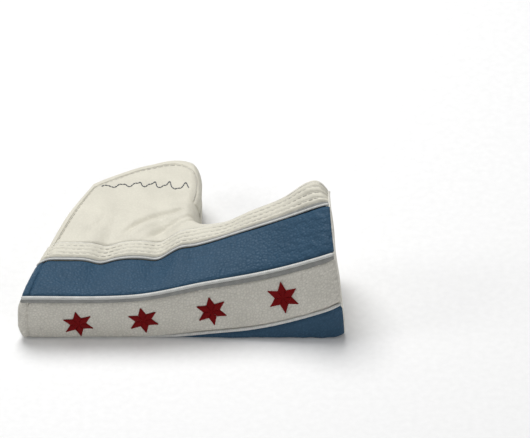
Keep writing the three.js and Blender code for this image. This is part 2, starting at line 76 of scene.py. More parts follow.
cad_high = np.array(cad_bounds[1]) / MM
heel_corner = np.array(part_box("sole_hem")[0]) / MM
ORIGIN = np.array([heel_corner[0], heel_corner[1], 0.0])
NECK_PEAK_ACROSS = cad_high[1] - ORIGIN[1]
TOE_HEIGHT = cad_high[2]
LENGTH = 150.0
TOE_FLARE = 8.0
HEEL_LEAN = 0.30
HEEL_CURVE = 0.0013
WHITE_STRIPE = 28.0
BLUE_STRIPE = 27.0
BORDER = 12.0
BLUE_TOP = WHITE_STRIPE + BLUE_STRIPE
SOLE_CORNER = 3.0
INNER_EDGE = 87.0
TOP_LINE = 50.0
CROOK_RADIUS = 6.0
EDGE_ROUND = 10.0
NECK_HEIGHT = 26.0
NECK_PEAK_ALONG = 67.0
NECK_SLOPE = 17.5
NECK_CORNER = 12.0
SEAM_SHARE = 0.46
SEAM_GAP = 0.9
HEM = 4.0
LEATHER = 1.3
FOAM_TOP, FOAM_BASE = 1.6, 4.0
LINING_TOP, LINING_BASE = 4.3, 6.1
FOLD_HEEL = 43.0
FOLD_INNER = 69.2

# How the band turns from heel to toe, as in the CAD model
STATION_ALONG = np.array([0.0, 55.0, 88.0, 120.0, 150.0])
STATIONS = {
    "lift": np.array([-2.0, -1.2, 3.2, 8.0, 21.0]),
    "lean": np.array([0.0, 0.0, 9.0, 19.0, 13.0]),
    "rise": np.array([5.0, 5.0, 7.0, 22.0, 29.0]),
    "border_rise": np.array([1.0, 1.0, 2.0, 8.0, 29.0]),
}


# ---- Small numeric helpers ----

def as_grids(*values):
    """The values as arrays of one shape."""
    return np.broadcast_arrays(*(np.asarray(value, float) for value in values))


def unit(vectors):
    return vectors / np.linalg.norm(vectors, axis=-1, keepdims=True)


def smoothstep(value, low, high):
    share = np.clip((value - low) / (high - low), 0.0, 1.0)
    return share * share * (3 - 2 * share)


def lerp(a, b, share):
    return a + (b - a) * share


def bump(value, centre, width):
    """A soft hump of height 1 at centre."""
    return np.exp(-(((value - centre) / width) ** 2))


def ripple(along, across, scale, seed):
    """Slow unevenness between about -1 and 1, from a few crossed waves."""
    total = np.zeros(np.broadcast(along, across).shape)
    for k in range(5):
        angle = seed * 1.7 + k * 2.399
        wave = (math.cos(angle) * along + math.sin(angle) * across) / scale
        total = total + np.sin(wave * (1 + 0.31 * k) + seed * 3.1 + k * k)
    return total / 3.0


def track(along, key):
    """A value of STATIONS at any place, on a smooth curve through the stations."""
    values = STATIONS[key]
    last = len(values) - 1
    index = np.clip(np.searchsorted(STATION_ALONG, along, side="left") - 1, 0, last - 1)

    def slope(k):
        before = np.maximum(k - 1, 0)
        after = np.minimum(k + 1, last)
        return (values[after] - values[before]) / (STATION_ALONG[after] - STATION_ALONG[before])

    span = STATION_ALONG[index + 1] - STATION_ALONG[index]
    u = np.clip((along - STATION_ALONG[index]) / span, 0, 1)
    bend = u * (1 - u) * ((1 - u) * slope(index) - u * slope(index + 1))
    return lerp(values[index], values[index + 1], u * u * (3 - 2 * u)) + span * bend


def place(along, across, height):
    """Points of the cover in millimetres, with the heel's lean and the toe's flare."""
    along, across, height = np.broadcast_arrays(along, across, height)
    share = np.maximum(1 - along / (INNER_EDGE + 1), 0)
    lean = share * (HEEL_LEAN * across + HEEL_CURVE * across * across)
    flare_up = 1 - np.clip(height / TOE_HEIGHT, 0, 1) ** 1.5
    flare_back = 1 - np.clip(across / TOP_LINE, 0, 1)
    flare = TOE_FLARE * smoothstep(along, LENGTH - 35, LENGTH) * flare_up * flare_back
    return np.stack([along + lean + flare, across, height], axis=-1)


def to_row(points):
    return (np.asarray(points) + ORIGIN) * MM


# ---- The band's section, as a path from the floor up and over the top ----

SEAMS = ["sole", "kink", "white_top", "blue_top", "border_top"]


def band_corners(along):
    """Distances of SEAMS from the sole's corner, and the corners of the path there."""
    lift = track(along, "lift")
    kink = np.maximum(lift, SOLE_CORNER)
    distances = [0 * lift, kink, lift + WHITE_STRIPE, lift + BLUE_TOP, lift + BLUE_TOP + BORDER]
    slopes = [90 + 0 * lift, 90 - track(along, "lean"), track(along, "rise"), track(along, "border_rise")]
    corners = [np.stack([0 * lift, 0 * lift], -1)]
    for k, slope in enumerate(np.radians(slopes)):
        way = np.stack([np.cos(slope), np.sin(slope)], -1)
        corners.append(corners[-1] + (distances[k + 1] - distances[k])[..., None] * way)
    return distances, corners


def seam(along, name):
    """A seam of the band as (across, height)."""
    return band_corners(along)[1][SEAMS.index(name)]


# How far each side of the two upper seams the path is rounded
UPPER_ROUNDING = (2.6, 2.5)


def band_path(along, distance):
    """The smooth path at a distance from the sole's corner, as (across, height)."""
    distances, corners = band_corners(along)
    at = np.stack([-distance, 0 * distance], -1)
    for k in range(len(corners) - 1):
        span = distances[k + 1] - distances[k]
        share = (distance - distances[k]) / span
        line = corners[k] + (corners[k + 1] - corners[k]) * share[..., None]
        at = np.where((distance >= distances[k])[..., None], line, at)
    kink_room = np.clip(distances[1] - SOLE_CORNER, 0.05, 1.5)
    for k, wanted in enumerate([SOLE_CORNER, kink_room, *UPPER_ROUNDING]):
        room = np.broadcast_to(wanted, distance.shape)
        before = corners[k - 1] if k else corners[0] + np.array([60.0, 0.0])
        towards = unit(before - corners[k])
        onward = unit(corners[k + 1] - corners[k])
        u = np.clip((distance - distances[k] + room) / (2 * room), 0, 1)[..., None]
        arc = corners[k] + room[..., None] * ((1 - u) ** 2 * towards + u ** 2 * onward)
        at = np.where((np.abs(distance - distances[k]) < room)[..., None], arc, at)
    return at


def roll(share, amount):
    """The drop of a skin that rolls over an edge, from share 0 to share 1 at the edge."""
    share = np.clip(share, 0, 1)
    return amount * (1 - np.sqrt(1 - 0.98 * share * share))


def toe_roll(along):
    """How far the skin has rolled in towards the toe's end face."""
    return roll((along - (LENGTH - 9)) / 9.5, 3.2)


def mouth_roll(along):
    """How far the skin has rolled in over the mouth's edge at the heel."""
    return roll(1 - along / 2.6, 1.9)


def ridge_lift(along):
    """The rounded lift of the ridge near the toe, its drop at the end, and its dip by the crook."""
    drop = np.clip((along - (LENGTH - 7.5)) / 7.5, 0, 1) ** 2.2
    return 2.6 * bump(along, LENGTH - 11, 7) - 7.5 * drop - 1.9 * bump(along, INNER_EDGE + 14, 8)


def top_sag(along):
    """Dips in the line of the upper border, where the leather has creased."""
    dips = 2.2 * bump(along, 34.5, 6) + 2.4 * bump(along, 65, 6) + 3.6 * bump(along, -1, 5)
    humps = 0.5 * bump(along, 49, 6) + 1.7 * bump(along, 77.5, 6)
    return humps - dips - 0.4


def heel_draw(along, distance, white_top):
    """How far the band's two corners are drawn in at the heel, by the thickness of the mouth."""
    above = 1 - np.clip((distance - white_top) / (BLUE_STRIPE - 3), 0, 1)
    draw = 1.7 * np.where(distance > white_top, above, bump(distance, white_top, 4.5))
    return (draw + 1.8 * bump(distance, 0, 4.5)) * (1 - smoothstep(along, 0, 12))


def band_point(along, distance, depth=0.0):
    """A point of the band, in millimetres."""
    along, distance, depth = as_grids(along, distance, depth)
    step = 0.05
    at = band_path(along, distance)
    way = unit(band_path(along, distance + step) - band_path(along, distance - step))
    inward = np.stack([way[..., 1], -way[..., 0]], -1)
    at = at + inward * (depth + toe_roll(along) + mouth_roll(along))[..., None]
    white_top = track(along, "lift") + WHITE_STRIPE
    blue_top = white_top + BLUE_STRIPE
    sag_share = smoothstep(distance, white_top, blue_top)
    ridge_share = smoothstep(distance, blue_top - 1, blue_top + BORDER)
    point = place(along, at[..., 0], at[..., 1])
    point[..., 0] += heel_draw(along, distance, white_top)
    point[..., 2] += sag_share * top_sag(along) + ridge_share * ridge_lift(along)
    return point


# ---- The side panels, as heights over the outline ----

def neck_top(along):
    """The neck's far edge, across."""
    before = NECK_PEAK_ACROSS - NECK_SLOPE * ((NECK_PEAK_ALONG - along) / NECK_PEAK_ALONG) ** 2
    share = np.clip((along - NECK_PEAK_ALONG) / (INNER_EDGE - NECK_PEAK_ALONG), 0, 1)
    after = NECK_PEAK_ACROSS - NECK_CORNER * (1 - np.sqrt(1 - share * share))
    return np.where(along < NECK_PEAK_ALONG, before, after)


FOLD_START = place(0.0, FOLD_HEEL, 0.0)
FOLD_END = place(INNER_EDGE, FOLD_INNER, 0.0)
FOLD_WAY = unit(FOLD_END - FOLD_START)


def fold(along):
    """Where the fold line crosses a line along the cover."""
    across = np.full(np.shape(along), FOLD_HEEL)
    slope = FOLD_WAY[1] / FOLD_WAY[0]
    for _ in range(12):
        across = FOLD_START[1] + slope * (place(along, across, 0.0)[..., 0] - FOLD_START[0])
    return across


def inside(along, across):
    """How far a place lies inside the sewn edge, which runs round the crook."""
    to_neck = np.maximum(INNER_EDGE + CROOK_RADIUS - along, 0)
    to_top_line = np.maximum(TOP_LINE + CROOK_RADIUS - across, 0)
    return np.hypot(to_neck, to_top_line) - CROOK_RADIUS


def top_height(along, across):
    """Height of the upper side, before sag, creases and rounded edges."""
    seam_at = seam(along, "border_top")
    slope = np.tan(np.radians(track(along, "border_rise")))
    on_band = seam_at[..., 1] - slope * (seam_at[..., 0] - across)
    share = smoothstep(across, TOP_LINE - 2, NECK_PEAK_ACROSS)
    on_panel = lerp(seam_at[..., 1], NECK_HEIGHT, share)
    return np.where(across < seam_at[..., 0], on_band, on_panel)


def floor_height(along, across):
    """Height of the under side, which lifts a little over the patch."""
    spot = place(along, across, 0.0)
    away = np.hypot(spot[..., 0] - BADGE_SPOT[0], spot[..., 1] - BADGE_SPOT[1])
    return 1.2 * (1 - smoothstep(away, BADGE_RADIUS + 3, BADGE_RADIUS + 11))


def seam_height(along, across):
    """Height of the back seam, between the upper and the under side."""
    return SEAM_SHARE * top_height(along, across)


def fullness(along, across, depth):
    """Share of the way from the back seam to the full height, round the sewn edge."""
    at_top_line = TOP_LINE - seam(along, "border_top")[..., 0]
    rounding = lerp(at_top_line, EDGE_ROUND, smoothstep(across, TOP_LINE, TOP_LINE + 12))
    reach = (inside(along, across) - depth) / np.maximum(rounding - depth, 3)
    return np.sqrt(1 - (1 - np.clip(reach, 0, 1)) ** 2)


# Soft folds of the side panel: from, to (along, across), depth, half width and bow
CREASES = [
    ((77, 61), (37, 40), 1.9, 1.8, -6.0),
    ((72, 56), (44, 40), -0.9, 2.4, -4.0),
    ((88, 56), (53, 39), 1.5, 1.8, -2.5),
    ((88, 52), (66, 41), 1.0, 1.4, -1.0),
    ((86, 68), (62, 64), 0.6, 2.2, -1.0),
    ((27, 58), (17, 41), 0.5, 3.0, 0.0),
    ((76, 84), (64, 70), 0.4, 3.4, 0.0),
]


def crease_relief(along, across):
    """Soft folds that fan out from the crook over the side panel."""
    relief = 0.3 * ripple(along, across, 9.0, 2.0)
    for start, end, depth, width, bow in CREASES:
        way = np.subtract(end, start)
        length = np.hypot(*way)
        way = way / length
        share = ((along - start[0]) * way[0] + (across - start[1]) * way[1]) / length
        aside = (across - start[1]) * way[0] - (along - start[0]) * way[1]
        bend = bow * np.sin(math.pi * np.clip(share, 0, 1))
        reach = smoothstep(share, -0.12, 0.14) * (1 - smoothstep(share, 0.6, 1.05))
        relief = relief - depth * reach * bump(aside, bend, width * (0.75 + 0.5 * share))
    return relief


def neck_spread(along, across):
    """How far the stuffed neck stands out past its pattern, along and across."""
    aside = 2.0 * smoothstep(along, 66, INNER_EDGE) * smoothstep(across, 62, 80)
    above = 1.3 * smoothstep(across, 80, NECK_PEAK_ACROSS)
    return np.stack([aside, above, 0 * aside], -1)


def mouth_curl(along, across):
    """How far the free edges of a flap curl in."""
    away = np.minimum(along, neck_top(along) - across)
    return 0.9 * (1 - smoothstep(away, -1, 8))


def top_point(along, across, depth=0.0):
    """A point of the upper side, in millimetres."""
    along, across, depth = as_grids(along, across, depth)
    low = seam_height(along, across) + SEAM_GAP
    steepness = np.cos(np.radians(track(along, "border_rise")))
    blue_across = seam(along, "blue_top")[..., 0]
    ridge_share = smoothstep(across, blue_across - 1, seam(along, "border_top")[..., 0])
    sag = top_sag(along) * (1 - smoothstep(across, 34, 66)) + ridge_share * ridge_lift(along)
    full = fullness(along, across, depth)
    high = top_height(along, across) + sag - (depth + toe_roll(along)) / steepness
    high = high + crease_relief(along, across) - mouth_curl(along, across)
    return place(along, across, lerp(low, high, full)) + neck_spread(along, across)


def bottom_point(along, across, depth=0.0):
    """A point of the under side, in millimetres."""
    along, across, depth = as_grids(along, across, depth)
    high = seam_height(along, across) - SEAM_GAP
    low = floor_height(along, across) + depth + toe_roll(along) + 0.3 * mouth_curl(along, across)
    height = lerp(high, low, fullness(along, across, depth))
    return place(along, across, height) + neck_spread(along, across)


BADGE_LOW, BADGE_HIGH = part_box("round_badge")
BADGE_SPOT = np.array((BADGE_LOW + BADGE_HIGH) / 2) / MM - ORIGIN
BADGE_RADIUS = (BADGE_HIGH.x - BADGE_LOW.x) / MM / 2
SIDES = {"top": top_point, "bottom": bottom_point}


# ---- Meshes ----

def normals_of(grid):
    """Unit normals of a grid of points, pointing to one side of it."""
    normal = np.cross(np.gradient(grid, axis=0), np.gradient(grid, axis=1))
    return normal / np.maximum(np.linalg.norm(normal, axis=-1, keepdims=True), 1e-9)


def arc_lengths(grid, axis):
    """Distance run along one axis of a grid of points."""
    steps = np.linalg.norm(np.diff(grid, axis=axis), axis=-1)
    zero = np.zeros_like(np.take(steps, [0], axis=axis))
    return np.concatenate([zero, np.cumsum(steps, axis=axis)], axis=axis)


def mesh_object(name, points, faces, uvs=None, smooth=True):
    """An object from points in millimetres, none of them below the floor."""
    mesh = bpy.data.meshes.new(name)
    placed = to_row(points)
    placed[:, 2] = np.maximum(placed[:, 2], 0.0)
    mesh.from_pydata(placed.tolist(), [], faces)
    mesh.update()
    if uvs is not None:
        layer = mesh.uv_layers.new(name="UVMap")
        indices = np.empty(len(mesh.loops), np.int64)
        mesh.loops.foreach_get("vertex_index", indices)
        layer.data.foreach_set("uv", (np.asarray(uvs)[indices] * MM).astype(np.float32).ravel())
    if smooth:
        mesh.polygons.foreach_set("use_smooth", np.ones(len(mesh.polygons), bool))
    made = bpy.data.objects.new(name, mesh)
    bpy.context.scene.collection.objects.link(made)
    return made


def face_out(made):
    """Turns the faces round if they point inwards."""
    mesh = made.data
    mesh.calc_loop_triangles()
    co = np.array([v.co for v in mesh.vertices])
    triangles = np.array([t.vertices for t in mesh.loop_triangles])
    a, b, c = (co[triangles[:, k]] for k in range(3))
    if np.einsum("ij,ij->i", a, np.cross(b, c)).sum() < 0:
        mesh.flip_normals()
    return made


def slab(name, outer, inner):
    """A closed sheet between an outer and an inner grid of points."""
    rows, columns = outer.shape[:2]
    count = rows * columns
    a = np.arange(count).reshape(rows, columns)
    b = a + count
    faces = []

    def quads(p, q, r, s):
        faces.extend(np.stack([p.ravel(), q.ravel(), r.ravel(), s.ravel()], 1).tolist())

    quads(a[:-1, :-1], a[1:, :-1], a[1:, 1:], a[:-1, 1:])
    quads(b[:-1, :-1], b[:-1, 1:], b[1:, 1:], b[1:, :-1])
    quads(a[:-1, 0], b[:-1, 0], b[1:, 0], a[1:, 0])
    quads(a[:-1, -1], a[1:, -1], b[1:, -1], b[:-1, -1])
    quads(a[0, :-1], a[0, 1:], b[0, 1:], b[0, :-1])
    quads(a[-1, :-1], b[-1, :-1], b[-1, 1:], a[-1, 1:])
    uv = np.stack([outer[..., 0], arc_lengths(outer[..., 1:], 1)], -1).reshape(-1, 2)
    points = np.concatenate([outer.reshape(-1, 3), inner.reshape(-1, 3)])
    return face_out(mesh_object(name, points, faces, np.concatenate([uv, uv])))


def ring_faces(rows, columns, start=0):
    """Faces of a closed skin through rings of points, with its two end caps."""
    a = np.arange(rows * columns).reshape(rows, columns) + start
    right = np.roll(a, -1, axis=1)
    faces = np.stack([a[:-1], right[:-1], right[1:], a[1:]], -1).reshape(-1, 4).tolist()
    return faces + [a[0][::-1].tolist(), a[-1].tolist()]


def ring_uvs(rings):
    return np.stack([arc_lengths(rings, 0), arc_lengths(rings, 1)], -1).reshape(-1, 2)


def loft(name, rings, uvs=None):
    """A closed skin through a row of closed rings of points."""
    if uvs is None:
        uvs = ring_uvs(rings)
    return face_out(mesh_object(name, rings.reshape(-1, 3), ring_faces(*rings.shape[:2]), uvs))


def join_rings(name, ring_sets):
    """One object from many small closed lofts, such as a row of stitches."""
    faces = []
    start = 0
    for rings in ring_sets:
        faces += ring_faces(*rings.shape[:2], start)
        start += rings.shape[0] * rings.shape[1]
    points = np.concatenate([rings.reshape(-1, 3) for rings in ring_sets])
    return face_out(mesh_object(name, points, faces, np.concatenate([ring_uvs(r) for r in ring_sets])))


def tube_rings(points, radii, sides):
    """Rings of points round a line, with no twist from one to the next."""
    points = np.asarray(points, float)
    radii = np.broadcast_to(radii, len(points))
    way = unit(np.gradient(points, axis=0))
    side = np.cross(way[0], [0.0, 0.0, 1.0])
    if np.linalg.norm(side) < 0.1:
        side = np.cross(way[0], [0.0, 1.0, 0.0])
    rings = []
    for point, forward, radius in zip(points, way, radii):
        side = unit(side - forward * np.dot(side, forward))
        up = np.cross(side, forward)
        angles = np.linspace(0, 2 * math.pi, sides, endpoint=False)[:, None]
        rings.append(point + radius * (np.cos(angles) * side + np.sin(angles) * up))
    return np.array(rings)


def tube(name, points, radius, sides=12):
    """A round cord with rounded ends."""
    radii = np.full(len(points), radius)
    radii[[0, -1]] = 0.35 * radius
    radii[[1, -2]] = 0.85 * radius
    return loft(name, tube_rings(points, radii, sides))


def stitch(start, end, out, radius, arch):
    """One stitch: a thread that comes out of the leather, arches over it and goes back in."""
    shares = np.array([0.0, 0.12, 0.3, 0.5, 0.7, 0.88, 1.0])
    lifts = arch * np.sin(math.pi * shares) ** 0.6 - 0.35 * radius
    line = start + (end - start) * shares[:, None] + out * lifts[:, None]
    sizes = radius * np.array([0.55, 0.9, 1.0, 1.0, 1.0, 0.9, 0.55])
    return tube_rings(line, sizes, 6)


def stitch_row(points, outs, length, gap, radius, arch):
    """Stitches of one length along a line of points on the leather."""
    reach = arc_lengths(points, 0)

    def along(values, spot):
        return np.array([np.interp(spot, reach, values[:, k]) for k in range(3)])

    made = []
    at = gap
    while at + length < reach[-1]:
        out = unit(along(outs, at + length / 2))
        made.append(stitch(along(points, at), along(points, at + length), out, radius, arch))
        at += length + gap
    return made


# ---- Materials ----

class Shader:
    """A principled material, with a short way to add and join nodes."""

    def __init__(self, name):
        self.material = bpy.data.materials.new(name)
        self.material.use_nodes = True
        self.tree = self.material.node_tree
        self.base = self.tree.nodes["Principled BSDF"]

    def add(self, kind, inputs=None, **settings):
        """A node of a kind, with its inputs given as numbers or as other nodes' outputs."""
        node = self.tree.nodes.new(kind)
        for key, value in settings.items():
            setattr(node, key, value)
        for key, value in (inputs or {}).items():
            if isinstance(value, bpy.types.NodeSocket):
                self.tree.links.new(value, node.inputs[key])
            else:
                node.inputs[key].default_value = value
        return node

    def place(self, kind):
        return self.add("ShaderNodeTexCoord").outputs[kind]

    def noise(self, where, scale, detail=3.0, roughness=0.5):
        inputs = {"Vector": where, "Scale": scale, "Detail": detail, "Roughness": roughness}
        return self.add("ShaderNodeTexNoise", inputs).outputs["Fac"]

    def cells(self, where, size, feature="SMOOTH_F1"):
        """Distances in a pattern of cells of a size in millimetres."""
        inputs = {"Vector": where, "Scale": 1 / (size * MM)}
        return self.add("ShaderNodeTexVoronoi", inputs, feature=feature).outputs["Distance"]

    def ramp(self, factor, low, high):
        """A blend between two stops, each a place and a colour."""
        node = self.add("ShaderNodeValToRGB", {"Fac": factor})
        for element, (spot, colour) in zip(node.color_ramp.elements, (low, high)):
            element.position = spot
            element.color = (*colour, 1.0)
        return node.outputs["Color"]

    def mix(self, factor, socket, colour):
        inputs = {0: factor, 6: socket, 7: (*colour, 1.0)}
        return self.add("ShaderNodeMix", inputs, data_type="RGBA").outputs[2]

    def square(self, value):
        return self.add("ShaderNodeMath", {0: value, 1: value}, operation="MULTIPLY").outputs[0]

    def sway(self, where, size):
        """The place, bent to and fro by a noise in step with cells of a size in millimetres."""
        noise = self.add("ShaderNodeTexNoise", {"Vector": where, "Scale": 0.7 / (size * MM)})
        bend = {0: noise.outputs["Color"], "Scale": 0.9 * size * MM}
        shift = self.add("ShaderNodeVectorMath", bend, operation="SCALE")
        moved = {0: where, 1: shift.outputs[0]}
        return self.add("ShaderNodeVectorMath", moved, operation="ADD").outputs[0]

    def remap(self, value, low, high, new_low, new_high):
        inputs = {"Value": value, "From Min": low, "From Max": high, "To Min": new_low, "To Max": new_high}
        return self.add("ShaderNodeMapRange", inputs).outputs[0]

    def surface(self, tone, roughness, bumps, **values):
        """Joins up the colour, the roughness and the bumps: (height, strength, distance in mm)."""
        ends = {"Base Color": tone, "Roughness": roughness}
        for height, strength, distance in bumps:
            inputs = {"Height": height, "Strength": strength, "Distance": distance * MM}
            if "Normal" in ends:
                inputs["Normal"] = ends["Normal"]
            ends["Normal"] = self.add("ShaderNodeBump", inputs).outputs["Normal"]
        for key, output in ends.items():
            self.tree.links.new(output, self.base.inputs[key])
        for key, value in values.items():
            self.base.inputs[key.replace("_", " ")].default_value = value
        return self.material


def shade(colour, factor):
    return tuple(c * factor for c in colour)


def leather(name, colour, cell, pebble, wrinkle, roughness, furrow_painted_shade):
    """Grained leather: pebbles of a size in millimetres, fine pores and slow wrinkles, with painted shade
    darkening the furrows between the pebbles.
    """
    s = Shader(name)
    where = s.place("UV")
    bent = s.sway(where, cell)
    domes = s.square(s.cells(bent, cell))
    furrows = s.cells(bent, cell, "DISTANCE_TO_EDGE")
    pores = s.cells(bent, 0.45 * cell)
    slow = s.noise(where, 60.0, 4.0)
    streaks = s.noise(where, 220.0, 5.0, 0.6)
    tone = s.ramp(slow, (0.3, shade(colour, 0.93)), (0.7, shade(colour, 1.05)))
    # Painted shade: the furrows between the pebbles are darkened, so the grain reads as if shaded.
    tone = s.mix(s.remap(furrows, 0.0, 0.26, furrow_painted_shade, 0.0), tone, shade(colour, 0.45))
    tone = s.mix(s.remap(streaks, 0.45, 0.75, 0.0, 0.16), tone, shade(colour, 0.8))
    rough = s.remap(furrows, 0.0, 0.3, roughness + 0.16, roughness - 0.04)
    bumps = [
        (s.noise(where, 130.0, 3.0), wrinkle, 1.0),
        (s.remap(domes, 0.0, 0.8, 1.0, 0.0), pebble, 0.5),
        (s.remap(furrows, 0.0, 0.3, 0.0, 1.0), 0.5 * pebble, 0.18),
        (s.remap(pores, 0.0, 0.9, 1.0, 0.0), 0.45 * pebble, 0.16),
    ]
    return s.surface(tone, rough, bumps, Specular_IOR_Level=0.22)


def thread(name, colour, roughness=0.5, sheen=0.3, gloss=0.5):
    """Twisted thread or covered cord: fine slanting strands."""
    s = Shader(name)
    where = s.place("UV")
    twist = {"Vector": where, "Scale": 620.0, "Distortion": 1.2, "Detail": 2.0}
    strands = s.add("ShaderNodeTexWave", twist, bands_direction="DIAGONAL").outputs["Fac"]
    uneven = s.noise(where, 300.0, 4.0)
    tone = s.ramp(uneven, (0.3, shade(colour, 0.82)), (0.7, shade(colour, 1.1)))
    tone = s.mix(s.remap(strands, 0.0, 0.5, 0.3, 0.0), tone, shade(colour, 0.6))
    rough = s.remap(uneven, 0.3, 0.7, roughness - 0.06, roughness + 0.1)
    return s.surface(tone, rough, [(strands, 0.5, 0.12), (uneven, 0.25, 0.1)],
                     Sheen_Weight=sheen, Sheen_Roughness=0.4, Specular_IOR_Level=gloss)


def fleece(name, colour):
    s = Shader(name)
    where = s.place("Object")
    clumps = s.cells(where, 1.6)
    fibres = s.noise(where, 1500.0, 6.0, 0.7)
    tone = s.ramp(clumps, (0.1, shade(colour, 1.06)), (0.8, shade(colour, 0.72)))
    tone = s.mix(s.remap(fibres, 0.4, 0.7, 0.0, 0.3), tone, shade(colour, 0.7))
    bumps = [(s.remap(clumps, 0.0, 0.9, 1.0, 0.0), 0.8, 0.7), (fibres, 0.7, 0.3)]
    return s.surface(tone, s.remap(fibres, 0.3, 0.7, 0.85, 1.0), bumps,
                     Sheen_Weight=0.6, Sheen_Roughness=0.5)


def foam(name, colour):
    s = Shader(name)
    holes = s.cells(s.place("Object"), 0.7, "F1")
    tone = s.ramp(holes, (0.1, shade(colour, 0.6)), (0.45, colour))
    return s.surface(tone, s.remap(holes, 0.1, 0.5, 1.0, 0.85), [(holes, 0.7, 0.25)])


def plated_steel(name, colour):
    s = Shader(name)
    turned = s.noise(s.place("Object"), 900.0, 4.0)
    tone = s.ramp(turned, (0.3, shade(colour, 0.85)), (0.7, shade(colour, 1.08)))
    return s.surface(tone, s.remap(turned, 0.3, 0.7, 0.22, 0.42), [(turned, 0.15, 0.05)], Metallic=1.0)


def floor_material():
    s = Shader("studio_floor")
    grain = s.noise(s.place("Object"), 300.0, 4.0)
    tone = s.ramp(grain, (0.3, (0.86, 0.86, 0.86)), (0.7, (0.9, 0.9, 0.9)))
    return s.surface(tone, s.remap(grain, 0.3, 0.7, 0.75, 0.85), [(grain, 0.03, 0.1)])


WHITE = (0.66, 0.635, 0.545)
BAND_WHITE = (0.62, 0.60, 0.54)
BLUE = (0.027, 0.074, 0.130)
MATERIALS = {
    "white_leather": leather("white_leather", WHITE, 1.5, 0.22, 0.6, 0.5, 0.07),
    "band_leather": leather("band_leather", BAND_WHITE, 1.5, 0.9, 0.6, 0.55, 0.34),
    "blue_leather": leather("blue_leather", BLUE, 1.5, 0.7, 0.5, 0.52, 0.34),
    "silver_piping": thread("silver_piping", (0.60, 0.605, 0.585), 0.5),
    "white_piping": thread("white_piping", (0.76, 0.74, 0.67), 0.5),
    "red_thread": thread("red_thread", (0.21, 0.0015, 0.003), 0.7, 0.0, 0.15),
    "grey_thread": thread("grey_thread", (0.09, 0.10, 0.12), 0.55),
    "badge_thread": thread("badge_thread", (0.27, 0.46, 0.60), 0.55),
    "fleece": fleece("fleece", (0.80, 0.79, 0.74)),
    "foam": foam("foam", (0.70, 0.65, 0.48)),
    "magnet_steel": plated_steel("magnet_steel", (0.62, 0.63, 0.65)),
}
STITCH_WHITE = thread("stitch_white", (0.70, 0.68, 0.61), 0.55)
# The flange's dark grey is painted shade, standing for the shadow in the groove beside the cords.
FLANGE_PAINTED_SHADE = thread("piping_flange_painted_shade", (0.27, 0.275, 0.265), 0.8, 0.0, 0.2)
BADGE_RED = thread("badge_red", (0.40, 0.02, 0.03), 0.5)
BADGE_WHITE = thread("badge_white", (0.78, 0.77, 0.72), 0.5)


def finish_piece(made, slot, body=None, flap=None, stands_for=(), material=None):
    """Gives a piece its material and the body that it moves with; a piece of a flap is only baked in
    place.
    """
    made.data.materials.append(material or MATERIALS[slot])
    if flap:
        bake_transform(made)
    else:
        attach(made, body)
    if stands_for:
        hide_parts(*stands_for)
    return made


# ---- The band ----

# Stations along the band, closer together where it rolls over at its ends
ALONG = np.concatenate([
    np.linspace(0.1, 7.6, 26), np.linspace(8, 141, 180), np.linspace(141.5, LENGTH, 22)])
CORD_ALONG = np.concatenate([np.linspace(0.1, 5, 16), np.linspace(5.6, LENGTH - 0.2, 230)])

# Shares of a strip's width, closer together beside its seams
STRIP_SHARES = np.concatenate([
    [0, 0.012, 0.03, 0.055], np.linspace(0.09, 0.91, 56), [0.945, 0.97, 0.988, 1]])

# Gaps between leathers and the middle of a seam: beside a cord, a cord's flat edge, a side panel
SEAM_ROOM = 0.75
FLANGE_ROOM = 3.3
PANEL_SEAM_ROOM = 0.25

# How far the leather turns down by a seam, and how much of that is left beside a side panel
SEAM_DIP = 0.95
PANEL_SEAM_SHARE = 0.3

# Rows of topstitching, from the border strips' cords
STITCH_ROWS = [4.2, 6.9, 9.6]


def edge_dip(room):
    """How far the leather turns down beside a seam, by the distance from its edge."""
    return SEAM_DIP * np.exp(-(room ** 2))


def stitch_dips(along, distance):
    """Dents that the rows of stitches pull into the border strips and the mouth's edge."""
    from_cord = distance - track(along, "lift")
    dips = 0.65 * bump(along, HEM + 0.6, 0.55) - 0.3 * bump(along, 2.4, 1.5) * (distance > 0)
    for row in STITCH_ROWS:
        dips = dips + 0.4 * bump(from_cord - BLUE_TOP, row, 0.6)
        dips = dips + 0.5 * bump(-from_cord - BLUE_STRIPE, row, 0.6)
    return dips


def strip_grid(low, high, crown):
    """Outer and inner grids of a strip of the band between two distances from the lower cord."""
    along, share = np.meshgrid(ALONG, STRIP_SHARES, indexing="ij")
    width = high - low
    distance = track(along, "lift") + low + width * share
    room = np.minimum(share, 1 - share) * width
    by_panel = np.where(share < 0.5, low < -BLUE_STRIPE - room, high > BLUE_TOP + room)
    softness = np.where(by_panel, PANEL_SEAM_SHARE, 1.0)
    near_toe = smoothstep(along, LENGTH - 38, LENGTH - 6)
    near_heel = 1 - smoothstep(along, 4, 26)
    puff = crown * (1 - (2 * share - 1) ** 4) + 0.16 * ripple(along, distance, 5.0, 1.0)
    puff = puff + (0.2 * near_toe + 0.12 * near_heel) * ripple(along, 1.6 * distance, 1.7, 3.0)
    depth = softness * edge_dip(room) + stitch_dips(along, distance) - puff
    depth = lerp(depth, np.maximum(depth, 0.0), smoothstep(-distance, 0.0, 3.0))
    inner_depth = np.maximum(depth, 0) + 0.9 * LEATHER
    return band_point(along, distance, depth), band_point(along, distance, inner_depth)


